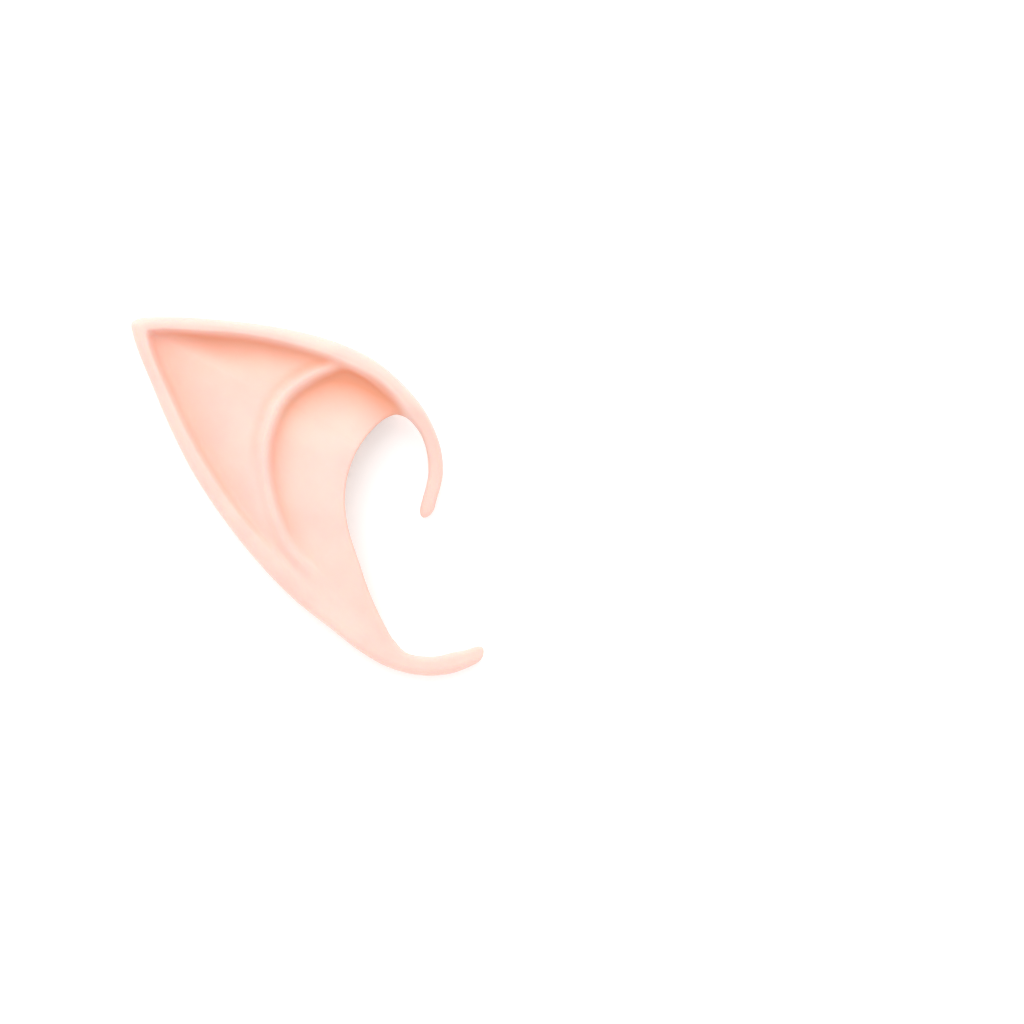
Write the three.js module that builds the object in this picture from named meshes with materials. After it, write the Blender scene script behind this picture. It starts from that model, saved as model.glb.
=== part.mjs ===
// Elf ear tip: one hollow piece of cast latex that slips over the top of a wearer's ear.
// It lies on its back, with its front, where the relief is, turned up.
// Millimetres, +Z up. X runs across the ear and Y runs from the lower arm to the top rim.
import * as THREE from 'three';

// Overall sizes
const earWidth = 81.2;
const earHeight = 82.6;
const earDepth = 15;

// Wall of the sleeve, and how far the back wall stops short of the front wall at the mouth
const wall = 1.5;
const lipSetback = 6;
const lipRoll = 0.9;
const lipRollDepth = 0.45;

// Rim and ridge of the front
const rimWidth = 4.6;
const rimSteepness = 3;
const rimSquareness = 2.6;
const ridgeWidth = 1.1;
const ridgeHeight = 0.7;
const grooveDepth = 0.2;
const ridgeDrop = 2.3;
const stepStart = 0.8;
const stepWidth = 1.2;

// From the ridge to the notch, where the bowl is widest
const bowlWidth = 21;

// Back wall: how far in from the outer edge it curls up to meet the front
const backCurl = 5.2;

// Solid arms: how much of their width and thickness their corners round over, and where the
// points of their inner edge begin, as a share of the wall
const armRound = 0.3;
const armLip = 0.12;

// Points of one section, and sections between two neighbouring rows of the outline
const rimPoints = 6;
const dishPoints = 13;
const bowlPoints = 9;
const lipPoints = 3;
const curlPoints = 5;
const backPoints = 4;
const innerPoints = 10;
const sectionSpacing = 3.4;

// How strongly the dish's points gather at its two ends, and the bowl's at the ridge
const dishGather = 0.12;
const bowlGather = 0.65;

// Sections of a rounded arm end, and how many more of them its point would take
const capSections = 3;
const capGap = 0.6;

// Outline seen from the front, from the end of the upper arm over the tip to the end of the
// lower arm. Each row is one section: its point on the outer edge and its point on the notch,
// as shares of the ear's width and height.
const outlineColumns = ['outX', 'outY', 'inX', 'inY'];
const outline = [
  [0.859, 0.471, 0.818, 0.471],
  [0.882, 0.568, 0.841, 0.568],
  [0.878, 0.624, 0.837, 0.621],
  [0.856, 0.691, 0.817, 0.677],
  [0.832, 0.737, 0.792, 0.708],
  [0.784, 0.797, 0.762, 0.725],
  [0.686, 0.880, 0.726, 0.718],
  [0.581, 0.928, 0.702, 0.701],
  [0.450, 0.963, 0.683, 0.682],
  [0.280, 0.988, 0.667, 0.663],
  [0.125, 0.999, 0.655, 0.646],
  [0.062, 0.999, 0.652, 0.642],
  [0.025, 0.996, 0.651, 0.639],
  [0.002, 0.984, 0.650, 0.638],
  [0.006, 0.947, 0.648, 0.635],
  [0.017, 0.914, 0.647, 0.633],
  [0.054, 0.824, 0.641, 0.623],
  [0.105, 0.705, 0.626, 0.588],
  [0.181, 0.557, 0.612, 0.535],
  [0.266, 0.432, 0.609, 0.474],
  [0.363, 0.312, 0.620, 0.401],
  [0.462, 0.212, 0.647, 0.318],
  [0.564, 0.132, 0.678, 0.228],
  [0.643, 0.071, 0.711, 0.156],
  [0.717, 0.028, 0.746, 0.095],
  [0.785, 0.006, 0.785, 0.061],
  [0.853, 0.000, 0.853, 0.053],
  [0.921, 0.010, 0.918, 0.066],
  [0.950, 0.021, 0.945, 0.071],
  [0.967, 0.029, 0.965, 0.077],
];

// Relief and depth of the sections. row: the outline row it belongs to.
// crestAt, fall: place of the rim's crest and length of its inner side, shares of rimWidth.
// edge, crest, floor, mid, mouth, back: heights of the outer edge, the rim's crest, the dish
// beside the rim, the dish beside the ridge, the front at the mouth and the back, shares of
// earDepth. bowl: from the ridge to the notch, share of bowlWidth.
// ridge, drop: share of ridgeHeight and of ridgeDrop.
// pocket: 1 where the section is hollow, 0 where it is solid. solid: how far from the outer
// edge the pocket ends, share of rimWidth. setback: share of lipSetback.
const reliefColumns = ['row', 'crestAt', 'fall', 'edge', 'crest', 'floor', 'mid', 'mouth', 'back',
  'bowl', 'ridge', 'drop', 'pocket', 'solid', 'setback'];
const relief = [
  [0, 0.25, 0.50, 0.15, 0.25, 0.25, 0.25, 0.25, 0.05, 0.082, 0, 0, 0, 0.5, 0],
  [1, 0.22, 0.50, 0.22, 0.32, 0.32, 0.32, 0.32, 0.13, 0.070, 0, 0, 0, 0.5, 0],
  [2, 0.22, 0.50, 0.28, 0.39, 0.38, 0.38, 0.38, 0.18, 0.070, 0, 0, 0, 0.5, 0],
  [3, 0.23, 0.50, 0.35, 0.50, 0.47, 0.47, 0.47, 0.25, 0.072, 0, 0, 0, 0.5, 0],
  [4, 0.34, 0.50, 0.41, 0.60, 0.53, 0.53, 0.53, 0.29, 0.080, 0, 0, 0, 0.5, 0],
  [5, 0.58, 0.50, 0.47, 0.75, 0.58, 0.56, 0.53, 0.27, 0.140, 0, 0.15, 0.25, 0.5, 0.1],
  [6, 0.80, 0.55, 0.49, 0.87, 0.66, 0.64, 0.57, 0.12, 0.370, 0, 0.45, 0.9, 0.5, 0.5],
  [7, 0.95, 0.60, 0.46, 0.91, 0.66, 0.71, 0.63, 0.02, 0.715, 0.3, 0.8, 1, 0.5, 1],
  [8, 0.95, 0.60, 0.41, 0.87, 0.60, 0.72, 0.68, 0, 0.848, 0.8, 1, 1, 0.5, 1],
  [9, 0.90, 0.60, 0.34, 0.76, 0.44, 0.70, 0.72, 0, 0.936, 1, 1, 1, 0.5, 1],
  [10, 1.10, 0.52, 0.30, 0.69, 0.37, 0.69, 0.75, 0, 0.989, 1, 1, 1, 0.7, 1],
  [12, 1.02, 0.45, 0.27, 0.65, 0.39, 0.69, 0.760, 0, 1.003, 1, 1, 1, 1.4, 1],
  [13, 0.84, 0.38, 0.26, 0.63, 0.39, 0.69, 0.762, 0, 1.007, 1, 1, 1, 1.8, 1],
  [16, 0.72, 0.36, 0.29, 0.64, 0.40, 0.69, 0.780, 0, 1.001, 1, 1, 1, 0.7, 1],
  [17, 0.72, 0.36, 0.31, 0.65, 0.42, 0.69, 0.79, 0, 0.976, 1, 1, 1, 0.5, 1],
  [18, 0.76, 0.38, 0.32, 0.66, 0.44, 0.69, 0.79, 0, 0.886, 1, 1, 1, 0.5, 1],
  [19, 0.76, 0.36, 0.31, 0.65, 0.46, 0.67, 0.77, 0, 0.790, 1, 0.85, 1, 0.5, 1],
  [20, 0.85, 0.40, 0.29, 0.61, 0.49, 0.61, 0.71, 0, 0.665, 0.6, 0.45, 1, 0.5, 1],
  [21, 0.65, 0.50, 0.27, 0.56, 0.51, 0.55, 0.63, 0, 0.460, 0, 0.05, 1, 0.5, 1],
  [22, 0.50, 0.60, 0.25, 0.50, 0.47, 0.48, 0.54, 0, 0.310, 0, 0, 1, 0.5, 0.7],
  [23, 0.50, 0.60, 0.22, 0.44, 0.42, 0.43, 0.46, 0.03, 0.200, 0, 0, 0.7, 0.5, 0.3],
  [24, 0.50, 0.55, 0.18, 0.38, 0.37, 0.37, 0.38, 0.06, 0.120, 0, 0, 0.15, 0.5, 0],
  [25, 0.48, 0.50, 0.16, 0.34, 0.34, 0.34, 0.34, 0.06, 0.085, 0, 0, 0, 0.5, 0],
  [27, 0.46, 0.50, 0.14, 0.30, 0.30, 0.30, 0.30, 0.04, 0.080, 0, 0, 0, 0.5, 0],
  [29, 0.40, 0.50, 0.13, 0.25, 0.25, 0.25, 0.25, 0.03, 0.070, 0, 0, 0, 0.5, 0],
];

// Reach of the two rounded arm ends past their last section, and how square they are
const upperEndReach = 2.6;
const upperEndSquareness = 2;
const lowerEndReach = 2.8;
const lowerEndSquareness = 2.3;

const mix = (from, to, share) => from + (to - from) * share;
const square = (value) => value * value;

// One column of a table, in millimetres when a size is given
function column(table, names, name, size) {
  const index = names.indexOf(name);
  return table.map((row) => row[index] * size);
}

// Slope at each row of a column. A held slope never lets the curve pass its own rows.
function slopes(places, values, held) {
  return values.map((value, i) => {
    const before = i > 0 ? (value - values[i - 1]) / (places[i] - places[i - 1]) : null;
    const after = i < values.length - 1
      ? (values[i + 1] - value) / (places[i + 1] - places[i])
      : null;
    if (before === null) return after;
    if (after === null) return before;
    if (!held) {
      const stepBefore = places[i] - places[i - 1];
      const stepAfter = places[i + 1] - places[i];
      return (before * stepAfter + after * stepBefore) / (stepBefore + stepAfter);
    }
    return before * after > 0 ? (2 * before * after) / (before + after) : 0;
  });
}

// Smooth curve through the rows of one column, as a function of the place along the edge
function curveThrough(places, values, held) {
  const slope = slopes(places, values, held);
  return (place) => {
    let i = 0;
    while (i < places.length - 2 && place > places[i + 1]) i += 1;
    const step = places[i + 1] - places[i];
    const t = (place - places[i]) / step;
    const rise = t * t * (3 - 2 * t);
    return values[i] * (1 - rise) + values[i + 1] * rise
      + step * (slope[i] * t * square(1 - t) - slope[i + 1] * t * t * (1 - t));
  };
}

// Running length of the outer edge at each row of the outline
function placesAlongEdge() {
  const x = column(outline, outlineColumns, 'outX', earWidth);
  const y = column(outline, outlineColumns, 'outY', earHeight);
  const places = [0];
  for (let i = 1; i < x.length; i += 1) {
    places.push(places[i - 1] + Math.hypot(x[i] - x[i - 1], y[i] - y[i - 1]));
  }
  return places;
}

const places = placesAlongEdge();
const reliefPlaces = relief.map((row) => places[row[0]]);

function outlineCurve(name, size) {
  return curveThrough(places, column(outline, outlineColumns, name, size), false);
}

function reliefCurve(name, size) {
  return curveThrough(reliefPlaces, column(relief, reliefColumns, name, size), true);
}

const curves = {
  outX: outlineCurve('outX', earWidth),
  outY: outlineCurve('outY', earHeight),
  inX: outlineCurve('inX', earWidth),
  inY: outlineCurve('inY', earHeight),
  crestAt: reliefCurve('crestAt', rimWidth),
  fall: reliefCurve('fall', rimWidth),
  edge: reliefCurve('edge', earDepth),
  crest: reliefCurve('crest', earDepth),
  floor: reliefCurve('floor', earDepth),
  mid: reliefCurve('mid', earDepth),
  mouth: reliefCurve('mouth', earDepth),
  back: reliefCurve('back', earDepth),
  bowl: curveThrough(reliefPlaces, column(relief, reliefColumns, 'bowl', bowlWidth), false),
  ridge: reliefCurve('ridge', ridgeHeight),
  drop: reliefCurve('drop', ridgeDrop),
  pocket: reliefCurve('pocket', 1),
  solid: reliefCurve('solid', rimWidth),
  setback: reliefCurve('setback', lipSetback),
};

// Sizes of the section at one place along the outer edge
function sectionAt(place) {
  const s = {};
  for (const name of Object.keys(curves)) s[name] = curves[name](place);
  s.length = Math.hypot(s.inX - s.outX, s.inY - s.outY);
  s.ridgeFrom = s.length - s.bowl;
  s.roll = mix(armRound * s.length, lipRoll, s.pocket);
  s.rollDepth = mix(armRound * (s.mouth - s.back), lipRollDepth, s.pocket);
  s.curl = mix(armRound * s.length, backCurl, s.pocket);
  s.lip = wall * mix(armLip, 1, s.pocket);
  s.backEnd = s.length - s.setback;
  s.pocketEnd = mix(s.length, s.solid, s.pocket);
  return s;
}

// Drop along a quarter circle, and along the rim's squarer corner: 0 at its start, 1 at its end
const quarterDrop = (share) => 1 - Math.sqrt(Math.max(0, 1 - share * share));
const cornerDrop = (share) => 1 - Math.pow(1 - Math.pow(share, rimSquareness), 1 / rimSquareness);
const smoothStep = (share) => {
  const t = Math.min(1, Math.max(0, share));
  return t * t * (3 - 2 * t);
};

// Height of the front at a distance from the outer edge
function frontHeight(s, distance) {
  if (distance < s.crestAt) {
    return s.crest - (s.crest - s.edge) * cornerDrop((s.crestAt - distance) / s.crestAt);
  }
  const fromCrest = distance - s.crestAt;
  const dish = mix(s.floor, s.mid, smoothStep(fromCrest / (s.ridgeFrom - s.crestAt)));
  const past = (distance - s.ridgeFrom) / s.bowl;
  const bowl = mix(s.mid, s.mouth, smoothStep(past));
  const base = distance < s.ridgeFrom ? dish : bowl;
  const rim = (s.crest - base) / (1 + Math.pow(fromCrest / s.fall, rimSteepness));
  const fromRidge = (distance - s.ridgeFrom) / ridgeWidth;
  const groove = (grooveDepth / ridgeHeight) * Math.exp(-square(fromRidge + 2));
  const ridge = s.ridge * (Math.exp(-square(fromRidge)) - groove);
  const down = Math.max(0, distance - s.ridgeFrom - stepStart) / stepWidth;
  const step = s.drop * (1 - Math.exp(-square(down))) * (1 - smoothStep(past));
  const rolled = Math.max(0, (distance - s.length + s.roll) / s.roll);
  return base + rim + ridge - step - s.rollDepth * quarterDrop(rolled);
}

// Height of the back at a distance from the outer edge
function backHeight(s, distance) {
  const curled = Math.max(0, (s.curl - distance) / s.curl);
  const rolled = Math.max(0, (distance - s.backEnd + s.roll) / s.roll);
  return s.back + (s.edge - s.back) * quarterDrop(curled) + s.rollDepth * quarterDrop(rolled);
}

// Shares from 0 to 1, leaving out the last or with it
const evenly = (count) => Array.from({ length: count }, (_, i) => i / count);
const evenlyToEnd = (count) => [...evenly(count), 1];

// Shares drawn closer together: at both ends, at the first one or at the last one
const closeAtEnds = (t) => t - dishGather * Math.sin(2 * Math.PI * t);
const closeAtStart = (t) => mix(t, t * t, bowlGather);
const roundEnd = (t) => Math.sin(0.5 * Math.PI * t);

// Distances of the front's points from the outer edge, going from the mouth to the edge
function frontDistances(s) {
  const rollStart = s.length - s.roll;
  return [
    ...evenly(lipPoints).map((t) => rollStart + s.roll * roundEnd(1 - t)),
    ...evenly(bowlPoints).map((t) => mix(s.ridgeFrom, rollStart, closeAtStart(1 - t))),
    ...evenly(dishPoints).map((t) => mix(s.crestAt, s.ridgeFrom, closeAtEnds(1 - t))),
    ...evenly(rimPoints).map((t) => s.crestAt * (1 - roundEnd(t))),
  ];
}

// Distances of the back's points, going from the outer edge to the mouth
function backDistances(s) {
  const rollStart = s.backEnd - s.roll;
  return [
    ...evenly(curlPoints).map((t) => s.curl * (1 - roundEnd(1 - t))),
    ...evenly(backPoints).map((t) => mix(s.curl, rollStart, t)),
    ...evenlyToEnd(lipPoints).map((t) => rollStart + s.roll * roundEnd(t)),
  ];
}

// A point of the pocket's wall: depth 0 at the mouth and 1 at the pocket's end
function pocketPoint(s, mouthAt, depth, side) {
  const distance = mix(mouthAt, s.pocketEnd, depth);
  const top = frontHeight(s, distance) - s.lip;
  const bottom = backHeight(s, distance) + s.lip;
  const open = mix(1 - depth, Math.sqrt(1 - Math.pow(depth, 6)), s.pocket);
  return [distance, 0.5 * (top + bottom) + side * 0.5 * (top - bottom) * open];
}

// One closed section as points of distance and height, then as points in space
function sectionRing(place) {
  const s = sectionAt(place);
  const outside = [
    ...frontDistances(s).map((distance) => [distance, frontHeight(s, distance)]),
    ...backDistances(s).map((distance) => [distance, backHeight(s, distance)]),
  ];
  const inward = evenly(innerPoints).map((t) => pocketPoint(s, s.backEnd, roundEnd(t), -1));
  const outward = evenlyToEnd(innerPoints)
    .map((t) => pocketPoint(s, s.length, roundEnd(1 - t), 1));
  return [...outside, ...inward, ...outward].map(([distance, height]) => {
    const share = distance / s.length;
    return [mix(s.outX, s.inX, share), mix(s.outY, s.inY, share), height];
  });
}

// Places of all sections: each stretch between two rows of the outline is divided evenly
function sectionPlaces() {
  const all = [];
  for (let i = 0; i < places.length - 1; i += 1) {
    const stretch = places[i + 1] - places[i];
    const count = Math.max(1, Math.round(stretch / sectionSpacing));
    for (let k = 0; k < count; k += 1) all.push(places[i] + (stretch * k) / count);
  }
  all.push(places[places.length - 1]);
  return all;
}

function centreOf(ring) {
  return [0, 1, 2].map((axis) => ring.reduce((sum, point) => sum + point[axis], 0) / ring.length);
}

// Rings that round off an arm's end: they shrink towards a last point past the end section
function roundedEnd(ring, next, reach, squareness) {
  const centre = centreOf(ring);
  const inside = centreOf(next);
  const away = centre.map((value, axis) => value - inside[axis]);
  const size = Math.hypot(...away);
  const rings = [];
  for (let k = 1; k <= capSections; k += 1) {
    const out = Math.sin((0.5 * Math.PI * k) / (capSections + capGap));
    const shrink = Math.pow(1 - Math.pow(out, squareness), 1 / squareness);
    rings.push(ring.map((point) => point.map((value, axis) => (
      centre[axis] + (value - centre[axis]) * shrink + (away[axis] / size) * reach * out
    ))));
  }
  const tip = centre.map((value, axis) => value + (away[axis] / size) * reach);
  return { rings, tip };
}

// Closed skin over a row of rings, with a point at each end
function skin(rings, firstTip, lastTip) {
  const around = rings[0].length;
  const points = [firstTip, ...rings.flat(), lastTip];
  const last = points.length - 1;
  const corner = (ring, i) => 1 + ring * around + (i % around);
  const faces = [];
  for (let i = 0; i < around; i += 1) {
    faces.push(0, corner(0, i + 1), corner(0, i));
    for (let ring = 0; ring < rings.length - 1; ring += 1) {
      faces.push(corner(ring, i), corner(ring + 1, i + 1), corner(ring + 1, i));
      faces.push(corner(ring, i), corner(ring, i + 1), corner(ring + 1, i + 1));
    }
    faces.push(last, corner(rings.length - 1, i), corner(rings.length - 1, i + 1));
  }
  const geometry = new THREE.BufferGeometry();
  geometry.setAttribute('position', new THREE.Float32BufferAttribute(points.flat(), 3));
  geometry.setIndex(faces);
  return geometry;
}

// The whole ear, standing on the middle of its own footprint
function earGeometry() {
  const body = sectionPlaces().map(sectionRing);
  const upper = roundedEnd(body[0], body[1], upperEndReach, upperEndSquareness);
  const lower = roundedEnd(body[body.length - 1], body[body.length - 2],
    lowerEndReach, lowerEndSquareness);
  const rings = [...upper.rings.reverse(), ...body, ...lower.rings];
  const geometry = skin(rings, upper.tip, lower.tip);
  geometry.computeBoundingBox();
  const box = geometry.boundingBox;
  geometry.translate(-0.5 * (box.min.x + box.max.x), -0.5 * (box.min.y + box.max.y), -box.min.z);
  geometry.computeVertexNormals();
  return geometry;
}

const latex = new THREE.MeshStandardMaterial({
  color: new THREE.Color().setRGB(0.99, 0.87, 0.80, THREE.SRGBColorSpace),
  roughness: 0.5,
  metalness: 0,
});

const ear = new THREE.Mesh(earGeometry(), latex);
ear.name = 'ear_tip';

const group = new THREE.Group();
group.name = 'elf_ear_tip';
group.add(ear);

export default group;
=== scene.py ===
import bpy
import numpy as np
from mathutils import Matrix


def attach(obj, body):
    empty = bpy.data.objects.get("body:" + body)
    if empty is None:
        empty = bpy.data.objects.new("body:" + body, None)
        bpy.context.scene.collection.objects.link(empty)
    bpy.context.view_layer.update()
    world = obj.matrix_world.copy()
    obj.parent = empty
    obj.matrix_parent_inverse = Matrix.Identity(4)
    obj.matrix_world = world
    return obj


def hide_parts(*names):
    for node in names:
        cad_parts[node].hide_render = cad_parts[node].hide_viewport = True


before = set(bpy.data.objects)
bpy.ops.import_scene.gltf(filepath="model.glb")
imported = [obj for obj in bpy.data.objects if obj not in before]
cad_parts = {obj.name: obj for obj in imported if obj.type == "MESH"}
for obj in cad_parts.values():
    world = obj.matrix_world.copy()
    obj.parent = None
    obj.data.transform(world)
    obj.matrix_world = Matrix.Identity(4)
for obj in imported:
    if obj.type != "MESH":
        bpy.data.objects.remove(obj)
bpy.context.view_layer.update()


# Camera
# Straight above the ear, as in the photograph, where the ear lies left of the middle. A long
# lens, because the photograph shows no perspective. One pixel of it is 0.23 mm on the ear.
pixel = 0.00023
photo_pixels = 1024
ear_middle_in_photo = (307.5, 496.5)
outline_height = 0.0045
lens = 135.0
sensor = 36.0

camera_data = bpy.data.cameras.new("camera")
camera_data.lens = lens
camera_data.sensor_width = sensor
camera_data.sensor_fit = "HORIZONTAL"
camera_data.clip_start = 0.01
camera_data.clip_end = 20.0
camera = bpy.data.objects.new("camera", camera_data)
bpy.context.collection.objects.link(camera)
camera.location = (
    (0.5 * photo_pixels - ear_middle_in_photo[0]) * pixel,
    (ear_middle_in_photo[1] - 0.5 * photo_pixels) * pixel,
    outline_height + photo_pixels * pixel * lens / sensor,
)
bpy.context.scene.camera = camera


# Ear
# One casting of flesh-coloured latex: a front wall with the relief, a plain back wall, and a
# pocket between them, open along the notch. It is worked out in millimetres, as closed sections
# from the upper arm's end over the tip to the lower arm's end, each from outer edge to notch.
ear_width = 81.2
ear_height = 82.6
ear_depth = 15.0
wall = 1.5
lip_setback = 6.0
lip_roll = 0.9
lip_roll_depth = 0.45
lip_roundness = 0.4
rim_width = 4.6
rim_steepness = 3.0
rim_squareness = 2.6
ridge_width = 1.1
ridge_height = 0.7
groove_depth = 0.2
groove_offset = 2.0
ridge_drop = 2.3
step_start = 0.8
step_width = 1.2
bowl_width = 21.0
back_curl = 5.2
# Share of the creases' painted shade kept off the ridge's crest, a painted highlight there
ridge_highlight = 0.8
# Strength and width in millimetres of the painted shade along the outer edge, about the parting
# line
edge_shade_tint = 0.6
edge_shade_width = 1.0
cut_tint = 0.5
cut_width = 0.3
arm_round = 0.3
arm_lip = 0.12
pocket_squareness = 6
section_spacing = 0.66
least_sections = 5

# Points along one section, in order: the front from the notch to the outer edge, the back from
# the outer edge to the notch, and the pocket in along the back wall and out along the front
lip_points = 8
bowl_points = 40
dish_points = 58
rim_points = 22
curl_points = 20
back_points = 14
cut_points = 5
pocket_points = 20

# How much the dish's points gather towards the rim and towards the ridge, and the bowl's
# towards the ridge
dish_gather = 0.12
bowl_gather = 0.65

# Outline seen from the front. Each row is one section: its point on the outer edge and its
# point on the notch, as shares of the ear's width and height.
outline_columns = ("out_x", "out_y", "in_x", "in_y")
outline = np.array([
    (0.859, 0.471, 0.818, 0.471),
    (0.882, 0.568, 0.841, 0.568),
    (0.878, 0.624, 0.837, 0.621),
    (0.856, 0.691, 0.817, 0.677),
    (0.832, 0.737, 0.792, 0.708),
    (0.784, 0.797, 0.762, 0.725),
    (0.686, 0.880, 0.726, 0.718),
    (0.581, 0.928, 0.702, 0.701),
    (0.450, 0.963, 0.683, 0.682),
    (0.280, 0.988, 0.667, 0.663),
    (0.125, 0.999, 0.655, 0.646),
    (0.062, 0.999, 0.652, 0.642),
    (0.025, 0.996, 0.651, 0.639),
    (0.002, 0.984, 0.650, 0.638),
    (0.006, 0.947, 0.648, 0.635),
    (0.017, 0.914, 0.647, 0.633),
    (0.054, 0.824, 0.641, 0.623),
    (0.105, 0.705, 0.626, 0.588),
    (0.181, 0.557, 0.612, 0.535),
    (0.266, 0.432, 0.609, 0.474),
    (0.363, 0.312, 0.620, 0.401),
    (0.462, 0.212, 0.647, 0.318),
    (0.564, 0.132, 0.678, 0.228),
    (0.643, 0.071, 0.711, 0.156),
    (0.717, 0.028, 0.746, 0.095),
    (0.785, 0.006, 0.785, 0.061),
    (0.853, 0.000, 0.853, 0.053),
    (0.921, 0.010, 0.918, 0.066),
    (0.950, 0.021, 0.945, 0.071),
    (0.967, 0.029, 0.965, 0.077),
])

# Relief and depth of the sections. row: the outline row it belongs to. crest_at, fall: place of
# the rim's crest and length of its inner side, shares of rim_width. edge, crest, floor, mid,
# mouth, back: heights of the outer edge, the rim's crest, the dish beside the rim, the dish
# beside the ridge, the front at the mouth and the back, shares of ear_depth. bowl: from the
# ridge to the notch, share of bowl_width. ridge, drop: share of ridge_height and ridge_drop.
# pocket: 1 where the section is hollow, 0 where it is solid. solid: how far from the outer
# edge the pocket ends, share of rim_width. setback: share of lip_setback.
relief_columns = ("row", "crest_at", "fall", "edge", "crest", "floor", "mid", "mouth", "back",
                  "bowl", "ridge", "drop", "pocket", "solid", "setback")
relief = np.array([
    (0, 0.25, 0.50, 0.15, 0.25, 0.25, 0.25, 0.25, 0.05, 0.082, 0, 0, 0, 0.5, 0),
    (1, 0.22, 0.50, 0.22, 0.32, 0.32, 0.32, 0.32, 0.13, 0.070, 0, 0, 0, 0.5, 0),
    (2, 0.22, 0.50, 0.28, 0.39, 0.38, 0.38, 0.38, 0.18, 0.070, 0, 0, 0, 0.5, 0),
    (3, 0.23, 0.50, 0.35, 0.50, 0.47, 0.47, 0.47, 0.25, 0.072, 0, 0, 0, 0.5, 0),
    (4, 0.34, 0.50, 0.41, 0.60, 0.53, 0.53, 0.53, 0.29, 0.080, 0, 0, 0, 0.5, 0),
    (5, 0.58, 0.50, 0.47, 0.75, 0.58, 0.56, 0.53, 0.27, 0.140, 0, 0.15, 0.25, 0.5, 0.1),
    (6, 0.80, 0.55, 0.49, 0.87, 0.66, 0.64, 0.57, 0.12, 0.370, 0, 0.45, 0.9, 0.5, 0.5),
    (7, 0.95, 0.60, 0.46, 0.91, 0.66, 0.71, 0.63, 0.02, 0.715, 0.3, 0.8, 1, 0.5, 1),
    (8, 0.95, 0.60, 0.41, 0.87, 0.60, 0.72, 0.68, 0, 0.848, 0.8, 1, 1, 0.5, 1),
    (9, 0.90, 0.60, 0.34, 0.76, 0.44, 0.70, 0.72, 0, 0.936, 1, 1, 1, 0.5, 1),
    (10, 1.10, 0.52, 0.30, 0.69, 0.37, 0.69, 0.75, 0, 0.989, 1, 1, 1, 0.7, 1),
    (12, 1.02, 0.45, 0.27, 0.65, 0.39, 0.69, 0.760, 0, 1.003, 1, 1, 1, 1.4, 1),
    (13, 0.84, 0.38, 0.26, 0.63, 0.39, 0.69, 0.762, 0, 1.007, 1, 1, 1, 1.8, 1),
    (16, 0.72, 0.36, 0.29, 0.64, 0.40, 0.69, 0.780, 0, 1.001, 1, 1, 1, 0.7, 1),
    (17, 0.72, 0.36, 0.31, 0.65, 0.42, 0.69, 0.79, 0, 0.976, 1, 1, 1, 0.5, 1),
    (18, 0.76, 0.38, 0.32, 0.66, 0.44, 0.69, 0.79, 0, 0.886, 1, 1, 1, 0.5, 1),
    (19, 0.76, 0.36, 0.31, 0.65, 0.46, 0.67, 0.77, 0, 0.790, 1, 0.85, 1, 0.5, 1),
    (20, 0.85, 0.40, 0.29, 0.61, 0.49, 0.61, 0.71, 0, 0.665, 0.6, 0.45, 1, 0.5, 1),
    (21, 0.65, 0.50, 0.27, 0.56, 0.51, 0.55, 0.63, 0, 0.460, 0, 0.05, 1, 0.5, 1),
    (22, 0.50, 0.60, 0.25, 0.50, 0.47, 0.48, 0.54, 0, 0.310, 0, 0, 1, 0.5, 0.7),
    (23, 0.50, 0.60, 0.22, 0.44, 0.42, 0.43, 0.46, 0.03, 0.200, 0, 0, 0.7, 0.5, 0.3),
    (24, 0.50, 0.55, 0.18, 0.38, 0.37, 0.37, 0.38, 0.06, 0.120, 0, 0, 0.15, 0.5, 0),
    (25, 0.48, 0.50, 0.16, 0.34, 0.34, 0.34, 0.34, 0.06, 0.085, 0, 0, 0, 0.5, 0),
    (27, 0.46, 0.50, 0.14, 0.30, 0.30, 0.30, 0.30, 0.04, 0.080, 0, 0, 0, 0.5, 0),
    (29, 0.40, 0.50, 0.13, 0.25, 0.25, 0.25, 0.25, 0.03, 0.070, 0, 0, 0, 0.5, 0),
])

# Painted shade in the two creases, under the rim and past the ridge, and in the ridge's
# groove. row: the outline row it belongs to. tint, step_tint, groove_tint: how much of it lies
# there. fade, step_fade: the length it fades over, in millimetres.
crease_shade_columns = ("row", "tint", "fade", "step_tint", "step_fade", "groove_tint")
crease_shade_table = np.array([
    (0, 0.0, 6.0, 0.0, 6.0, 0.0),
    (4, 0.0, 6.0, 0.0, 6.0, 0.0),
    (5, 0.8, 8.0, 0.2, 6.0, 0.0),
    (6, 1.2, 9.0, 0.5, 6.0, 0.0),
    (7, 1.3, 9.5, 0.8, 6.0, 0.0),
    (9, 1.3, 10.5, 0.95, 6.0, 0.2),
    (10, 1.25, 12.0, 1.0, 5.2, 0.2),
    (12, 0.8, 16.0, 1.1, 4.6, 0.2),
    (13, 0.55, 18.0, 1.1, 4.4, 0.2),
    (15, 0.55, 12.0, 1.1, 4.0, 0.2),
    (16, 0.7, 7.0, 1.05, 3.6, 0.2),
    (17, 0.72, 5.0, 1.05, 3.2, 0.2),
    (18, 1.1, 2.5, 1.0, 2.4, 0.0),
    (19, 1.6, 1.2, 1.1, 2.0, 0.0),
    (20, 0.6, 1.2, 0.5, 2.0, 0.0),
    (21, 0.0, 1.5, 0.1, 2.2, 0.0),
    (29, 0.0, 1.5, 0.0, 2.2, 0.0),
])

# Sizes that the relief's columns are shares of
relief_sizes = {
    "crest_at": rim_width, "fall": rim_width, "edge": ear_depth, "crest": ear_depth,
    "floor": ear_depth, "mid": ear_depth, "mouth": ear_depth, "back": ear_depth,
    "bowl": bowl_width, "ridge": ridge_height, "drop": ridge_drop, "pocket": 1.0,
    "solid": rim_width, "setback": lip_setback,
}

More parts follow.
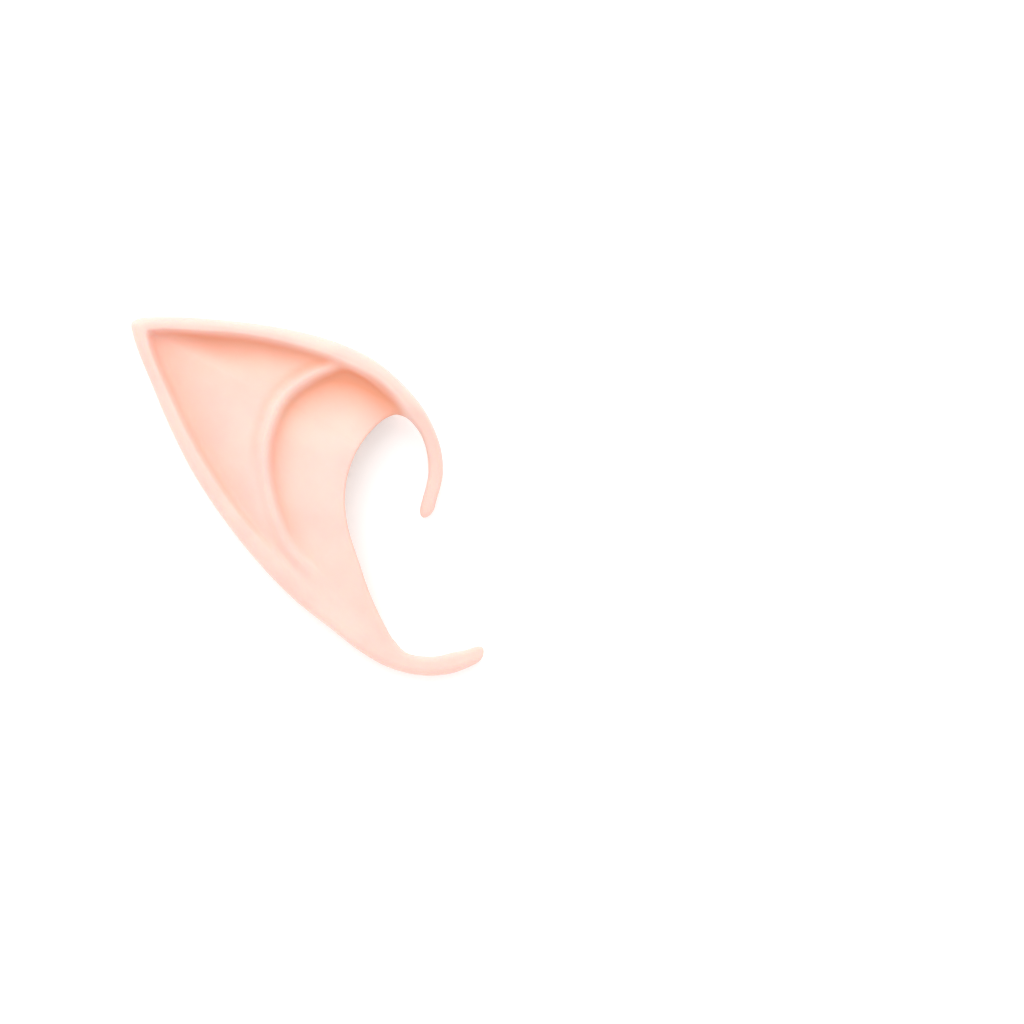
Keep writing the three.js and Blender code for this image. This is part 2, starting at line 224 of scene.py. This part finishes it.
# Reach of the two rounded arm ends past their last section, and how square they are. Each has
# cap_sections rings, and cap_gap is the room before its closing point, in steps of the rings.
upper_end = (2.6, 2.0)
lower_end = (2.8, 2.3)
cap_sections = 9
cap_gap = 0.6


def mix(start, end, share):
    """Value between start and end: start plus that share of the way to end."""
    return start + (end - start) * share


def smooth_step(share):
    """0 before 0 and 1 after 1, with 3 t squared minus 2 t cubed between them."""
    t = np.clip(share, 0.0, 1.0)
    return t * t * (3.0 - 2.0 * t)


def quarter_drop(share):
    """Drop of a quarter circle: 1 minus the root of 1 minus share squared, share from 0 to 1."""
    t = np.clip(share, 0.0, 1.0)
    return 1.0 - np.sqrt(1.0 - t * t)


def corner_drop(share):
    """Drop along a squarer corner: 1 minus the q-th root of 1 minus share to the power q."""
    t = np.clip(share, 0.0, 1.0)
    return 1.0 - (1.0 - t ** rim_squareness) ** (1.0 / rim_squareness)


def curve_through(places, values, at, held):
    """Cubic curve through values at places, read at the places `at`.

    The slope at a row is the mean of its two neighbouring chords, weighted by the other chord's
    length. A held slope is their harmonic mean, or 0 at a turn, so no row is passed."""
    step = np.diff(places)
    chord = np.diff(values) / step
    slope = np.empty(len(values))
    slope[0] = chord[0]
    slope[-1] = chord[-1]
    before, after = chord[:-1], chord[1:]
    if held:
        product = before * after
        total = before + after
        slope[1:-1] = np.where(product > 0, 2 * product / np.where(product > 0, total, 1.0), 0.0)
    else:
        slope[1:-1] = (before * step[1:] + after * step[:-1]) / (step[:-1] + step[1:])
    i = np.clip(np.searchsorted(places, at, side="right") - 1, 0, len(step) - 1)
    t = (at - places[i]) / step[i]
    rise = t * t * (3.0 - 2.0 * t)
    bend = slope[i] * t * (1 - t) ** 2 - slope[i + 1] * t * t * (1 - t)
    return values[i] * (1 - rise) + values[i + 1] * rise + step[i] * bend


def front_height(s, distance):
    """Height of the front at a distance from the outer edge.

    A squared-off quarter ellipse rises from the edge to the rim's crest. Past it, the rim falls
    away as 1 over (1 plus distance over fall to a power), onto the dish, which rises to the
    ridge, and past the ridge onto the bowl, which rises to the mouth. The ridge is a bell curve
    with a shallow groove beside it, the step past it 1 minus e to the minus distance squared,
    and the lip a quarter-circle roll."""
    edge_side = s["crest"] - (s["crest"] - s["edge"]) * corner_drop(
        (s["crest_at"] - distance) / s["crest_at"])
    from_crest = np.maximum(distance - s["crest_at"], 0.0)
    from_ridge = distance - s["ridge_from"]
    dish = mix(s["floor"], s["mid"], smooth_step(from_crest / (s["ridge_from"] - s["crest_at"])))
    past = from_ridge / s["bowl"]
    bowl = mix(s["mid"], s["mouth"], smooth_step(past))
    base = np.where(from_ridge < 0, dish, bowl)
    rim = (s["crest"] - base) / (1.0 + (from_crest / s["fall"]) ** rim_steepness)
    bead = np.exp(-(from_ridge / ridge_width) ** 2)
    groove = groove_depth / ridge_height * np.exp(-(from_ridge / ridge_width + groove_offset) ** 2)
    ridge = s["ridge"] * (bead - groove)
    down = np.maximum(from_ridge - step_start, 0.0) / step_width
    step = s["drop"] * (1.0 - np.exp(-down ** 2)) * (1 - smooth_step(past))
    roll = s["roll_depth"] * quarter_drop((distance - s["length"] + s["roll"]) / s["roll"])
    return np.where(distance < s["crest_at"], edge_side, base + rim + ridge - step - roll)


def painted_crease_shade(s, distance):
    """How much painted shade the front's creases get, from 0 to 1.

    Under the rim and past the ridge it grows as 1 minus e to the minus distance cubed and fades
    as e to the minus distance. The groove beside the ridge gets a little, as a bell curve, and
    the ridge, another bell curve, is kept clear of it, as a painted highlight."""
    def crease_shade(away, start, fade):
        reach = np.maximum(away, 0.0)
        return (1.0 - np.exp(-(reach / start) ** 3)) * np.exp(-reach / fade)

    from_ridge = distance - s["ridge_from"]
    rim = s["tint"] * crease_shade(distance - s["crest_at"], s["fall"], s["fade"])
    step = s["step_tint"] * crease_shade(from_ridge - step_start, step_width, s["step_fade"])
    groove = s["groove_tint"] * np.exp(-(from_ridge / ridge_width + groove_offset) ** 2)
    ridge = s["ridge"] / ridge_height * np.exp(-(from_ridge / ridge_width) ** 2)
    return np.clip(rim + step + groove, 0.0, 1.0) * (1.0 - ridge_highlight * ridge)


def back_height(s, distance):
    """Height of the back: flat, with a quarter-ellipse curl up to the edge and a rolled lip."""
    curl = quarter_drop((s["curl"] - distance) / s["curl"])
    roll = quarter_drop((distance - s["back_end"] + s["roll"]) / s["roll"])
    return s["back"] + (s["edge"] - s["back"]) * curl + s["roll_depth"] * roll


def section_sizes(at, places):
    """All sizes of the sections at the places `at`, each as a column of its own."""
    s = {}
    for k, name in enumerate(outline_columns):
        size = ear_width if name.endswith("x") else ear_height
        s[name] = curve_through(places, outline[:, k] * size, at, held=False)[:, None]
    relief_places = places[relief[:, 0].astype(int)]
    for k, name in enumerate(relief_columns[1:], start=1):
        values = relief[:, k] * relief_sizes[name]
        s[name] = curve_through(relief_places, values, at, held=name != "bowl")[:, None]
    crease_shade_places = places[crease_shade_table[:, 0].astype(int)]
    for k, name in enumerate(crease_shade_columns[1:], start=1):
        s[name] = curve_through(crease_shade_places, crease_shade_table[:, k], at, held=True)[:, None]
    s["length"] = np.hypot(s["in_x"] - s["out_x"], s["in_y"] - s["out_y"])
    s["ridge_from"] = s["length"] - s["bowl"]
    s["roll"] = mix(arm_round * s["length"], lip_roll, s["pocket"])
    s["roll_depth"] = mix(arm_round * (s["mouth"] - s["back"]), lip_roll_depth, s["pocket"])
    s["curl"] = mix(arm_round * s["length"], back_curl, s["pocket"])
    s["lip"] = wall * mix(arm_lip, 1.0, s["pocket"])
    s["round"] = lip_roundness * s["pocket"]
    s["back_end"] = s["length"] - s["setback"]
    s["pocket_end"] = mix(s["length"], s["solid"], s["pocket"])
    return s


def shares(count, last=False):
    """Even shares from 0 towards 1, with or without the last one, as one row."""
    return np.linspace(0.0, 1.0, count, endpoint=last)[None, :]


def round_end(t):
    """Shares drawn together towards 1, as the sine of a quarter turn."""
    return np.sin(0.5 * np.pi * t)


def outside_distances(s):
    """Distances from the outer edge of the front's and then of the back's points."""
    front_roll = s["length"] - s["roll"]
    back_roll = s["back_end"] - s["roll"]
    towards_rim = 1.0 - shares(dish_points)
    towards_rim = towards_rim - dish_gather * np.sin(2 * np.pi * towards_rim)
    towards_ridge = 1.0 - shares(bowl_points)
    towards_ridge = mix(towards_ridge, towards_ridge ** 2, bowl_gather)
    front = np.hstack([
        front_roll + s["roll"] * round_end(1.0 - shares(lip_points)),
        mix(s["ridge_from"], front_roll, towards_ridge),
        mix(s["crest_at"], s["ridge_from"], towards_rim),
        s["crest_at"] * (1.0 - round_end(shares(rim_points))),
    ])
    back = np.hstack([
        s["curl"] * (1.0 - round_end(1.0 - shares(curl_points))),
        mix(s["curl"], back_roll, shares(back_points)),
        back_roll + s["roll"] * round_end(shares(lip_points, last=True)),
    ])
    return front, back


def pocket_walls(s):
    """Points of the pocket: over the back lip, in along the back wall, out along the front wall.

    Depth runs from 0 at the mouth to 1 at the pocket's end, where the gap closes as the root of
    1 minus depth to a high power. In a solid arm it closes evenly instead."""
    over_back = shares(cut_points)[:, 1:]
    over_front = 1.0 - shares(cut_points, last=True)[:, :-1]
    depth_in = round_end(shares(pocket_points))
    depth_out = round_end(1.0 - shares(pocket_points, last=True))
    back_start = s["back_end"] - s["round"]
    front_start = s["length"] - s["round"]

    def gap_point(start, depth, side):
        distance = mix(start, s["pocket_end"], depth)
        top = front_height(s, distance) - s["lip"]
        bottom = back_height(s, distance) + s["lip"]
        opening = mix(1.0 - depth, np.sqrt(1.0 - depth ** pocket_squareness), s["pocket"])
        return distance, 0.5 * (top + bottom) + side * 0.5 * (top - bottom) * opening

    along_back = gap_point(back_start, depth_in, -1.0)
    along_front = gap_point(front_start, depth_out, 1.0)
    back_lip = (
        s["back_end"] - s["round"] * quarter_drop(over_back),
        mix(back_height(s, s["back_end"]), along_back[1][:, :1], over_back),
    )
    front_lip = (
        s["length"] - s["round"] * quarter_drop(over_front),
        mix(front_height(s, s["length"]), along_front[1][:, -1:], over_front),
    )
    parts = (back_lip, along_back, along_front, front_lip)
    return np.hstack([part[0] for part in parts]), np.hstack([part[1] for part in parts])


def ear_sections():
    """Grid of points, one row for each section, and each point's three marks for the finish.

    The crease mark is painted shade in the front's creases. The edge mark is painted shade as a
    bell curve about the parting line, in height and in distance, plus a darker line as a bell
    curve about the cut edge of the mouth."""
    xy = outline[:, :2] * (ear_width, ear_height)
    places = np.concatenate([[0.0], np.cumsum(np.hypot(*np.diff(xy, axis=0).T))])
    spaced = np.round(np.diff(places) / section_spacing)
    counts = np.maximum(least_sections, spaced).astype(int)
    at = np.concatenate([
        np.linspace(places[i], places[i + 1], counts[i], endpoint=False)
        for i in range(len(counts))
    ] + [places[-1:]])
    s = section_sizes(at, places)
    front, back = outside_distances(s)
    pocket_distance, pocket_height = pocket_walls(s)
    distance = np.hstack([front, back, pocket_distance])
    height = np.hstack([front_height(s, front), back_height(s, back), pocket_height])
    share = distance / s["length"]
    points = np.stack([
        mix(s["out_x"], s["in_x"], share), mix(s["out_y"], s["in_y"], share), height,
    ], axis=-1)
    inside = np.zeros(distance.shape)
    inside[:, front.shape[1] + back.shape[1]:] = s["pocket"]
    # Painted shade in the front's creases
    crease_shade = np.zeros(distance.shape)
    crease_shade[:, :front.shape[1]] = painted_crease_shade(s, front)
    # Painted shade along the outer edge, about the parting line, and a darker line at the mouth's
    # cut edge
    off_parting = (height - s["edge"]) ** 2 + distance ** 2
    edge_shade = edge_shade_tint * np.exp(-off_parting / edge_shade_width ** 2)
    cut = cut_tint * s["pocket"] * np.exp(-((s["length"] - distance) / cut_width) ** 2)
    return points, {"inside": inside, "crease_shade": crease_shade, "edge": edge_shade + cut}


def rounded_end(ring, inner_ring, reach, squareness):
    """Rings that shrink past an arm's end as a superellipse, and the point that closes them."""
    centre = ring.mean(axis=0)
    away = centre - inner_ring.mean(axis=0)
    away = away / np.linalg.norm(away)
    out = np.sin(0.5 * np.pi * np.arange(1, cap_sections + 1) / (cap_sections + cap_gap))
    shrink = (1.0 - out ** squareness) ** (1.0 / squareness)
    rings = centre + (ring - centre) * shrink[:, None, None] + away * reach * out[:, None, None]
    return rings, centre + away * reach


def skin_faces(ring_count, around):
    """Quads between neighbouring rings and triangles to the point at each end."""
    ring, i = np.meshgrid(np.arange(ring_count - 1), np.arange(around), indexing="ij")
    after = (i + 1) % around
    here, there = 1 + ring * around, 1 + (ring + 1) * around
    quads = np.stack([here + i, here + after, there + after, there + i], axis=-1).reshape(-1, 4)
    k = np.arange(around)
    last_ring = 1 + (ring_count - 1) * around
    last = last_ring + around
    first_fan = np.stack([np.zeros_like(k), 1 + (k + 1) % around, 1 + k], axis=-1)
    last_fan = np.stack([np.full_like(k, last), last_ring + k, last_ring + (k + 1) % around],
                        axis=-1)
    return quads.tolist() + first_fan.tolist() + last_fan.tolist()


points, marks = ear_sections()
upper_rings, upper_point = rounded_end(points[0], points[1], *upper_end)
lower_rings, lower_point = rounded_end(points[-1], points[-2], *lower_end)
rings = np.concatenate([upper_rings[::-1], points, lower_rings])
vertices = np.vstack([upper_point, rings.reshape(-1, 3), lower_point])

# The model's footprint middle is the origin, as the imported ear's is
low, high = vertices.min(axis=0), vertices.max(axis=0)
vertices = (vertices - [0.5 * (low[0] + high[0]), 0.5 * (low[1] + high[1]), low[2]]) * 0.001

ear_mesh = bpy.data.meshes.new("ear")
ear_mesh.from_pydata(vertices, [], skin_faces(len(rings), rings.shape[1]))
ear_mesh.update()
for name, values in marks.items():
    whole = np.pad(values, ((cap_sections, cap_sections), (0, 0)), mode="edge").ravel()
    mark = ear_mesh.attributes.new(name, "FLOAT", "POINT")
    mark.data.foreach_set("value", np.pad(whole, 1).astype(np.float32))
ear_mesh.polygons.foreach_set("use_smooth", np.ones(len(ear_mesh.polygons), dtype=bool))
ear = bpy.data.objects.new("ear", ear_mesh)
bpy.context.collection.objects.link(ear)


# Colours of the latex, and how coarse its blotches and its grain are, in repeats per metre
deeper_skin = (0.95, 0.60, 0.53)
paler_skin = (0.96, 0.655, 0.57)
# Colour of the painted shade in the creases
crease_shade_colour = (0.87, 0.37, 0.23)
pocket_colour = (0.90, 0.62, 0.50)
# Colour of the painted shade along the outer edge and of the darker line at the mouth's cut edge
edge_colour = (0.70, 0.38, 0.29)
moulded_roughness = 0.5
pocket_roughness = 0.8
blotch_scale = 90.0
blotch_detail = 3.0
blotch_from = 0.35
blotch_to = 0.68
grain_scale = 1400.0
grain_detail = 4.0
grain_height = 0.0002
grain_strength = 0.12


def latex_material():
    """Cast latex: a warm pale skin colour with faint blotches. Painted shade deepens it in the
    creases and along the outer edge about the mould's parting line, the ridge's crest is left
    clear of it as a painted highlight, and a darker line runs along the cut edge of the mouth.
    Light travels up to about a millimetre under its satin skin. The pocket's walls, the side of
    the casting that touched no mould, are duller and darker."""
    material = bpy.data.materials.new("latex")
    material.use_nodes = True
    nodes, links = material.node_tree.nodes, material.node_tree.links
    shader = nodes["Principled BSDF"]
    shader.inputs["IOR"].default_value = 1.45
    shader.inputs["Specular IOR Level"].default_value = 0.35
    shader.inputs["Subsurface Weight"].default_value = 0.25
    shader.inputs["Subsurface Radius"].default_value = (1.0, 0.45, 0.25)
    shader.inputs["Subsurface Scale"].default_value = 0.001
    place = nodes.new("ShaderNodeTexCoord")
    mix_below, mix_above, mix_result = 6, 7, 2

    def noise(scale, detail):
        texture = nodes.new("ShaderNodeTexNoise")
        texture.inputs["Scale"].default_value = scale
        texture.inputs["Detail"].default_value = detail
        links.new(place.outputs["Object"], texture.inputs["Vector"])
        return texture.outputs["Fac"]

    def ramp(value, stops):
        node = nodes.new("ShaderNodeValToRGB")
        for element, (position, colour) in zip(node.color_ramp.elements, stops):
            element.position = position
            element.color = (*colour, 1.0)
        links.new(value, node.inputs["Fac"])
        return node.outputs["Color"]

    def mark(name):
        node = nodes.new("ShaderNodeAttribute")
        node.attribute_name = name
        return node.outputs["Fac"]

    def blend(factor, below, above):
        node = nodes.new("ShaderNodeMix")
        node.data_type = "RGBA"
        node.inputs[mix_above].default_value = (*above, 1.0)
        links.new(factor, node.inputs["Factor"])
        links.new(below, node.inputs[mix_below])
        return node.outputs[mix_result]

    blotches = ramp(noise(blotch_scale, blotch_detail),
                    [(blotch_from, deeper_skin), (blotch_to, paler_skin)])
    # Painted shade in the creases, left off the ridge's crest as a painted highlight
    crease_shaded = blend(mark("crease_shade"), blotches, crease_shade_colour)
    lined = blend(mark("inside"), crease_shaded, pocket_colour)
    # Painted shade along the outer edge, and a darker line at the mouth's cut edge
    colour = blend(mark("edge"), lined, edge_colour)
    links.new(colour, shader.inputs["Base Color"])

    roughness = ramp(mark("inside"),
                     [(0.0, (moulded_roughness,) * 3), (1.0, (pocket_roughness,) * 3)])
    links.new(roughness, shader.inputs["Roughness"])

    grain = nodes.new("ShaderNodeBump")
    grain.inputs["Strength"].default_value = grain_strength
    grain.inputs["Distance"].default_value = grain_height
    links.new(noise(grain_scale, grain_detail), grain.inputs["Height"])
    links.new(grain.outputs["Normal"], shader.inputs["Normal"])
    return material


ear_mesh.materials.append(latex_material())
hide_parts("ear_tip")
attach(ear, "root")


# Floor and light
# A plain white table, which glows a little so that it stays as white as the photograph's
# ground, and soft studio light: a large bright dome, and one large soft light past the top rim,
# a little to the left, which shades the inner sides of the rim and ridge.
floor_mesh = bpy.data.meshes.new("floor")
reach = 3.0
floor_mesh.from_pydata(
    [(-reach, -reach, 0.0), (reach, -reach, 0.0), (reach, reach, 0.0), (-reach, reach, 0.0)],
    [], [(0, 1, 2, 3)])
floor = bpy.data.objects.new("floor", floor_mesh)
bpy.context.collection.objects.link(floor)
floor_material = bpy.data.materials.new("floor_white")
floor_material.use_nodes = True
floor_shader = floor_material.node_tree.nodes["Principled BSDF"]
floor_shader.inputs["Base Color"].default_value = (0.93, 0.93, 0.93, 1.0)
floor_shader.inputs["Roughness"].default_value = 0.9
floor_shader.inputs["Specular IOR Level"].default_value = 0.0
floor_shader.inputs["Emission Color"].default_value = (1.0, 1.0, 1.0, 1.0)
floor_shader.inputs["Emission Strength"].default_value = 0.2
floor_mesh.materials.append(floor_material)

world = bpy.data.worlds.new("studio")
world.use_nodes = True
world.node_tree.nodes["Background"].inputs["Color"].default_value = (1.0, 1.0, 1.0, 1.0)
world.node_tree.nodes["Background"].inputs["Strength"].default_value = 0.98
bpy.context.scene.world = world

key_data = bpy.data.lights.new("key", "AREA")
key_data.shape = "DISK"
key_data.size = 1.3
key_data.energy = 7.0
key = bpy.data.objects.new("key", key_data)
bpy.context.collection.objects.link(key)
key.location = (-0.15, 0.85, 0.8)
key.rotation_euler = (-key.location).to_track_quat("-Z", "Y").to_euler()

bpy.context.scene.view_settings.view_transform = "Standard"
